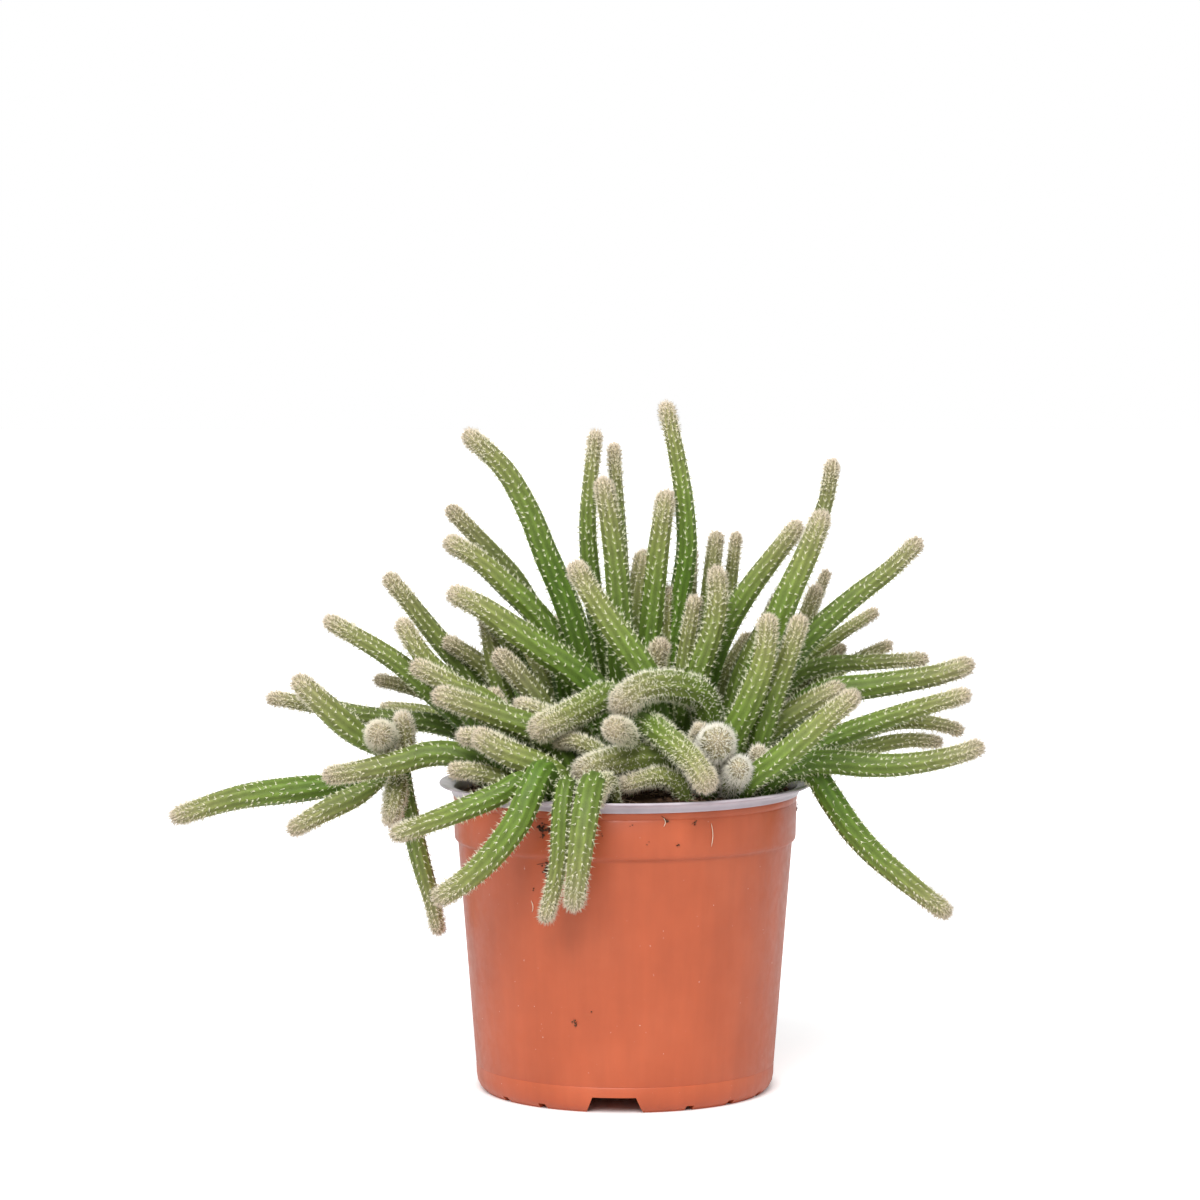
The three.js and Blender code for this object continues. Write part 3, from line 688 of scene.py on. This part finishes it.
def make_stems():
    rng = np.random.RandomState(11)
    names = sorted(name for name in NODES if name.startswith("stem_"))
    for seed, name in enumerate(names):
        line, radii = rings_of(name)
        tone_and_shade = TONES_AND_SHADE.get(name, rng.uniform(0.0, 0.45))
        density = DENSITIES.get(name.split("_")[1], 1.0)
        piece = make_stem("plant_" + name, line, radii, tone_and_shade, density, WOOL.get(name, 0.0), seed + 1)
        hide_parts(name)
    for seed, (name, (greatest, points)) in enumerate(SMALL_STEMS.items()):
        line = np.array(points, dtype=float) * MM + AXIS
        shares = np.linspace(0, 1, SMALL_STEM_POINTS)
        line = catmull(line, shares)
        radii = swelling(shares) * greatest * MM
        tone_and_shade = TONES_AND_SHADE.get(name, rng.uniform(0.1, 0.6))
        make_stem("plant_" + name, line, radii, tone_and_shade, SMALL_STEM_DENSITY,
                  WOOL.get(name, 0.0), seed + 101)


# ---------------------------------------------------------------- pot

# Lengths of the pot are in millimetres, turns in degrees.
POT_SEGMENTS = 200
COLLAR_RADIUS = LIP_RADIUS / MM - 4.5
LIP_HEIGHT = 3.9
COLLAR_HEIGHT = 20.3
GROOVE_DROP = 6.4
WALL_FOOT_RADIUS = 51.85
WALL_FOOT_HEIGHT = 9.4
WALL_TOP_RADIUS = 57.9
WALL_TOP_DROP = 1.0
WALL_STEPS = 8
COLLAR_WALL_RADIUS = 59.5
LARGE_NOTCHES = 3
LARGE_NOTCH_TURN = -94.4
LARGE_NOTCH = {"foot": 20, "top": 14.8, "height": 5.5}
SMALL_NOTCH_TURNS = (30, 50, 70, 90)
SMALL_NOTCH = {"foot": 3.1, "top": 2.8, "height": 1.7}
NOTCH_REACHES = (44.0, 54.0)
SHARP_ANGLE = 38


def arc(centre, radius, start, stop, count):
    """Points of an arc in the (radius, height) plane, its angles in degrees."""
    turns = [math.radians(start + (stop - start) * k / (count - 1)) for k in range(count)]
    return [(centre[0] + radius * math.cos(t), centre[1] + radius * math.sin(t)) for t in turns]


def pot_outline():
    """The pot's section in millimetres, up the outside and down the inside, and where the paler
    plastic of the lip and the inside begins."""
    top, lip, collar = POT_HEIGHT / MM, LIP_RADIUS / MM, COLLAR_RADIUS
    step, groove, band = top - COLLAR_HEIGHT, top - GROOVE_DROP, top - LIP_HEIGHT
    outside = [(0, 6.2), (46.7, 6.2), (46.7, 0.1), (49.0, 0.0)] + arc((49.0, 0.4), 0.3, -90, 0, 4)
    outside += [(49.7, 0.7), (50.5, 1.5), (51.3, 3.1), (51.7, 5.4), (51.8, 8.4)]
    outside += [(51.6, 8.9), (WALL_FOOT_RADIUS, WALL_FOOT_HEIGHT)]
    flare, rise = WALL_TOP_RADIUS - WALL_FOOT_RADIUS, step - WALL_TOP_DROP - WALL_FOOT_HEIGHT
    outside += [(WALL_FOOT_RADIUS + flare * k / WALL_STEPS, WALL_FOOT_HEIGHT + rise * k / WALL_STEPS)
                for k in range(1, WALL_STEPS + 1)]
    outside += [(57.95, step - 0.4), (58.2, step + 0.1), (58.8, step + 0.5), (59.1, step + 1.0)]
    outside += [(59.2, step + 2.0), (59.5, groove - 0.7), (59.15, groove), (59.55, groove + 0.6)]
    outside += [(59.65, band - 0.5), (59.5, band - 0.15)]
    pale = [(collar + 0.1, band), (collar + 0.22, band + 0.3), (collar + 0.1, band + 0.75)]
    for share in (0.2, 0.4, 0.6, 0.8, 1.0):
        turn = share * math.pi / 2
        pale.append((collar + 0.05 + (lip - collar - 0.15) * (1 - math.cos(turn)),
                     band + 0.8 + (LIP_HEIGHT - 1.5) * math.sin(turn)))
    pale += [(lip - 0.02, top - 0.4), (lip - 0.15, top - 0.08), (lip - 0.6, top - 0.03)]
    for share in (0.8, 0.6, 0.4, 0.2):
        turn = share * math.pi / 2
        pale.append((collar - 1.0 + (lip - collar - 0.3) * (1 - math.cos(turn)),
                     band + 1.4 + (LIP_HEIGHT - 1.5) * math.sin(turn)))
    pale += [(58.6, band), (58.2, step + 4), (57.8, step + 1), (56.2, step - 1.2), (49.9, 7.9), (0, 7.8)]
    return outside + pale, len(outside) - 1


def turned_mesh(name, outline, segments):
    """A closed solid of revolution about the pot's axis; its outline starts and ends on the axis."""
    corners, faces = [], []
    inner = outline[1:-1]
    for k in range(segments):
        turn = k * 2 * math.pi / segments
        for radius, height in inner:
            corners.append((AXIS[0] + radius * MM * math.cos(turn),
                            AXIS[1] + radius * MM * math.sin(turn), height * MM))
    start, end = len(corners), len(corners) + 1
    corners += [(AXIS[0], AXIS[1], outline[0][1] * MM), (AXIS[0], AXIS[1], outline[-1][1] * MM)]
    count = len(inner)
    for k in range(segments):
        here, beside = k * count, ((k + 1) % segments) * count
        faces.append((start, beside, here))
        faces.append((end, here + count - 1, beside + count - 1))
        faces += [(here + i, beside + i, beside + i + 1, here + i + 1) for i in range(count - 1)]
    mesh = bpy.data.meshes.new(name)
    mesh.from_pydata(corners, [], faces)
    return mesh


def notch_mesh():
    """Every notch of the foot as one mesh of wedge-sided cutters."""
    corners, faces = [], []

    def cutter(turn, foot, top, height):
        base = len(corners)
        angle = math.radians(turn)
        out = np.array([math.cos(angle), math.sin(angle)])
        side = np.array([-out[1], out[0]])
        for reach in NOTCH_REACHES:
            for across, up in ((-foot / 2, -1.0), (foot / 2, -1.0), (top / 2, height), (-top / 2, height)):
                spot = out * reach + side * across
                corners.append((AXIS[0] + spot[0] * MM, AXIS[1] + spot[1] * MM, up * MM))
        for face in ((0, 3, 2, 1), (4, 5, 6, 7), (0, 1, 5, 4), (1, 2, 6, 5), (2, 3, 7, 6), (3, 0, 4, 7)):
            faces.append([base + corner for corner in face])

    for large in range(LARGE_NOTCHES):
        turn = LARGE_NOTCH_TURN + 360 / LARGE_NOTCHES * large
        cutter(turn, **LARGE_NOTCH)
        for extra in SMALL_NOTCH_TURNS:
            cutter(turn + extra, **SMALL_NOTCH)
    mesh = bpy.data.meshes.new("notches")
    mesh.from_pydata(corners, [], faces)
    return mesh


def make_pot():
    """The moulded pot: terracotta outside, paler lilac-grey plastic on the lip and the inside."""
    outline, pale_from = pot_outline()
    mesh = turned_mesh("pot_shell", outline, POT_SEGMENTS)
    pot = add_piece("pot_shell", mesh, [TERRACOTTA, POT_INSIDE])
    count = len(outline) - 2
    for face in mesh.polygons:
        row = max(corner % count for corner in face.vertices if corner < count * POT_SEGMENTS)
        face.material_index = int(row >= pale_from)
    cutters = bpy.data.objects.new("notches", notch_mesh())
    bpy.context.scene.collection.objects.link(cutters)
    cut = pot.modifiers.new("notches", "BOOLEAN")
    cut.object = cutters
    cut.solver = "EXACT"
    graph = bpy.context.evaluated_depsgraph_get()
    cut_mesh = bpy.data.meshes.new_from_object(pot.evaluated_get(graph))
    pot.modifiers.clear()
    pot.data = cut_mesh
    bpy.data.objects.remove(cutters)
    cut_mesh.set_sharp_from_angle(angle=math.radians(SHARP_ANGLE))
    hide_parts("pot")


# ---------------------------------------------------------------- soil

SOIL_MOUND = 4.6 * MM
SOIL_RINGS = 44
SOIL_SEGMENTS = 120
CRUMBS = 420
FIBRES = 460


def soil_height(x, y):
    """The soil's height: a low mound with lumps."""
    out = min(math.hypot(x - AXIS[0], y - AXIS[1]) / SOIL_RADIUS, 1)
    lumps = noise.fractal(Vector((x, y, 0.031)) * 130, 0.6, 2.0, 5)
    return SOIL_TOP + 0.9 * MM + SOIL_MOUND * (1 - out ** 3) + 1.3 * MM * lumps


def make_soil_surface():
    """A crumbly surface over the CAD's plain soil."""
    rings, around = SOIL_RINGS, SOIL_SEGMENTS
    corners = [(AXIS[0], AXIS[1], soil_height(AXIS[0], AXIS[1]))]
    for ring in range(1, rings + 1):
        radius = SOIL_RADIUS * ring / rings
        for step in range(around):
            angle = step * 2 * math.pi / around
            x, y = AXIS[0] + radius * math.cos(angle), AXIS[1] + radius * math.sin(angle)
            corners.append((x, y, soil_height(x, y)))
    faces = [(0, 1 + k, 1 + (k + 1) % around) for k in range(around)]
    for ring in range(rings - 1):
        for k in range(around):
            here = 1 + ring * around
            beside = (k + 1) % around
            faces.append((here + k, here + around + k, here + around + beside, here + beside))
    mesh = bpy.data.meshes.new("soil_surface")
    mesh.from_pydata(corners, [], faces)
    add_piece("soil_surface", mesh, [PEAT])
    NODES["soil"].data.materials.clear()
    NODES["soil"].data.materials.append(PEAT)


def add_lump(corners, faces, place, size, rng):
    """One rough crumb: a small ball with every corner pushed in or out."""
    ball = bmesh.new()
    bmesh.ops.create_icosphere(ball, subdivisions=1, radius=1)
    base = len(corners)
    for corner in ball.verts:
        offset = np.array(corner.co) * size * rng.uniform(0.6, 1.25)
        corners.append(tuple(np.array(place) + offset * (1, 1, 0.75)))
    faces.extend([[base + corner.index for corner in face.verts] for face in ball.faces])
    ball.free()


def add_strand(corners, faces, points, radius):
    """A thin four-sided strand through the points, pinched at both ends."""
    points = np.array(points)
    along, sides, others = carried_frames(points)
    base = len(corners)
    for k, point in enumerate(points):
        girth = radius * (0.35 if k in (0, len(points) - 1) else 1)
        for turn in range(4):
            angle = turn * math.pi / 2
            corners.append(tuple(point + (sides[k] * math.cos(angle) + others[k] * math.sin(angle)) * girth))
    for k in range(len(points) - 1):
        here = base + k * 4
        for turn in range(4):
            beside = (turn + 1) % 4
            faces.append((here + turn, here + beside, here + 4 + beside, here + 4 + turn))
    last = base + (len(points) - 1) * 4
    faces.append((base + 3, base + 2, base + 1, base))
    faces.append((last, last + 1, last + 2, last + 3))


def make_crumbs():
    rng = np.random.RandomState(5)
    corners, faces = [], []
    for _ in range(CRUMBS):
        out = SOIL_RADIUS * math.sqrt(rng.uniform(0, 0.97))
        angle = rng.uniform(0, 2 * math.pi)
        x, y = AXIS[0] + out * math.cos(angle), AXIS[1] + out * math.sin(angle)
        size = rng.uniform(0.5, 1.7) * MM
        add_lump(corners, faces, (x, y, soil_height(x, y) + size * 0.2), size, rng)
    mesh = bpy.data.meshes.new("soil_crumbs")
    mesh.from_pydata(corners, [], faces)
    add_piece("soil_crumbs", mesh, [PEAT], smooth=False)


def make_fibres():
    rng = np.random.RandomState(6)
    corners, faces = [], []
    for _ in range(FIBRES):
        out = SOIL_RADIUS * math.sqrt(rng.uniform(0, 0.92))
        angle = rng.uniform(0, 2 * math.pi)
        x, y = AXIS[0] + out * math.cos(angle), AXIS[1] + out * math.sin(angle)
        heading = rng.uniform(0, 2 * math.pi)
        length = rng.uniform(4, 13) * MM
        bend = rng.uniform(-0.8, 0.8)
        points = []
        for share in np.linspace(-0.5, 0.5, 6):
            turn = heading + bend * share
            px, py = x + math.cos(turn) * length * share, y + math.sin(turn) * length * share
            inward = min(1, 0.97 * SOIL_RADIUS / max(math.hypot(px - AXIS[0], py - AXIS[1]), 1e-6))
            px, py = AXIS[0] + (px - AXIS[0]) * inward, AXIS[1] + (py - AXIS[1]) * inward
            points.append((px, py, soil_height(px, py) + rng.uniform(0.2, 1.1) * MM))
        add_strand(corners, faces, points, rng.uniform(0.1, 0.28) * MM)
    mesh = bpy.data.meshes.new("soil_fibres")
    mesh.from_pydata(corners, [], faces)
    add_piece("soil_fibres", mesh, [FIBRE])


# Peat stuck to the pot's wall: (degrees about the axis from the front, height in mm, spread in mm,
# lumps). Positive turns are to the viewer's right.
STUCK_PEAT = [(-27.5, 97, 2.0, 26), (-27.5, 83.5, 1.8, 24), (-13, 100.5, 1.3, 6), (-18.5, 31, 0.9, 9),
              (-12.5, 35, 0.4, 2), (-8, 95.5, 0.5, 2), (13, 100.5, 0.9, 6), (7, 93, 0.5, 2),
              (-33, 76, 0.5, 2), (23, 99.5, 0.7, 4), (1.5, 98.8, 0.4, 2), (17, 92, 0.5, 3),
              (150, 94, 1.2, 6), (205, 88, 0.6, 3), (92, 97, 0.8, 4)]
# Pale hairs on the wall: (degrees from the front, height of the top in mm, length in mm).
STUCK_HAIRS = [(28.5, 99, 8), (12, 101.5, 3), (-34, 72, 4)]


def wall_radius(height):
    """The pot's outside radius in millimetres at a height in millimetres."""
    step = POT_HEIGHT / MM - COLLAR_HEIGHT
    if height > step:
        return COLLAR_WALL_RADIUS
    rise = step - WALL_TOP_DROP - WALL_FOOT_HEIGHT
    return WALL_FOOT_RADIUS + (WALL_TOP_RADIUS - WALL_FOOT_RADIUS) * (height - WALL_FOOT_HEIGHT) / rise


def on_wall(turn, height, proud):
    angle = math.radians(turn - 90)
    radius = (wall_radius(height) + proud) * MM
    return (AXIS[0] + radius * math.cos(angle), AXIS[1] + radius * math.sin(angle), height * MM)


def make_dirt():
    rng = np.random.RandomState(7)
    corners, faces = [], []
    for turn, height, spread, lumps in STUCK_PEAT:
        for _ in range(lumps):
            shift = rng.normal(size=2) * spread * 0.6
            size = rng.uniform(0.2, 0.28 + 0.22 * spread)
            place = on_wall(turn + shift[0], height + shift[1], size * 0.35)
            add_lump(corners, faces, place, size * MM, rng)
        for _ in range(lumps // 3):
            start = rng.normal(size=2) * spread * 0.7
            end = start + rng.normal(size=2) * spread * 0.9
            points = []
            for share in (0, 0.35, 0.7, 1):
                spot = start + (end - start) * share
                points.append(on_wall(turn + spot[0], height + spot[1], 0.3 + share * rng.uniform(0, 0.8)))
            add_strand(corners, faces, points, 0.12 * MM)
    mesh = bpy.data.meshes.new("stuck_peat")
    mesh.from_pydata(corners, [], faces)
    add_piece("stuck_peat", mesh, [PEAT], smooth=False)
    corners, faces = [], []
    for turn, top, length in STUCK_HAIRS:
        points = []
        for share in np.linspace(0, 1, 6):
            sway = math.sin(share * 3.0) * 0.7
            points.append(on_wall(turn + sway, top - length * share, 0.25))
        add_strand(corners, faces, points, 0.13 * MM)
    mesh = bpy.data.meshes.new("stuck_hairs")
    mesh.from_pydata(corners, [], faces)
    add_piece("stuck_hairs", mesh, [BRISTLE])


# ---------------------------------------------------------------- the whole

add_camera()
add_studio()
SKIN = skin_material()
BRISTLE = bristle_material()
TERRACOTTA = terracotta_material()
POT_INSIDE = pot_inside_material()
PEAT = peat_material()
FIBRE = fibre_material()
make_pot()
make_soil_surface()
make_crumbs()
make_fibres()
make_dirt()
make_stems()
